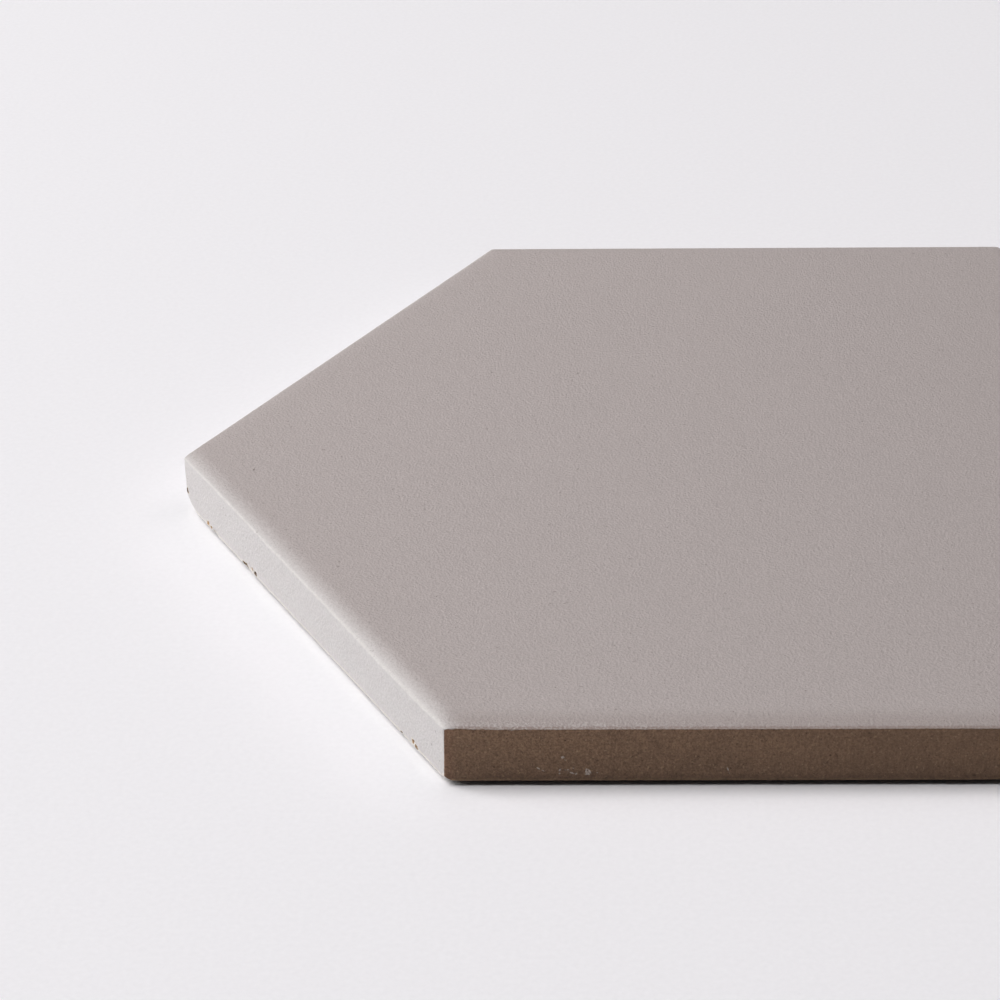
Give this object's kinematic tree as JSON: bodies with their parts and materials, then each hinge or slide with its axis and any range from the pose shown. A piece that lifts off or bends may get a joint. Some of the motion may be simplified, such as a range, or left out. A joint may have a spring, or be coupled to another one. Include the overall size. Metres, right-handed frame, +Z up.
{
  "type": "hexagon floor tile",
  "caption": "Flat regular hexagon floor tile in fired clay with a matt warm-grey glaze, a softly pillowed face edge, bare clay on two opposite sides and a ribbed keying back.",
  "frame": {"origin": "centre of the plane that the back's ribs stand on, under the middle of the hexagon", "axes": "+Z up through the glazed face, +X through a corner, along the longest corner-to-corner size, +Y square to a bare clay side"},
  "size_m": [0.1998, 0.1732, 0.0108],
  "materials": {
    "fired_tile": "matte"
  },
  "bodies": {
    "root": {"hexagon_tile": "fired_tile"}
  },
  "joints": []
}
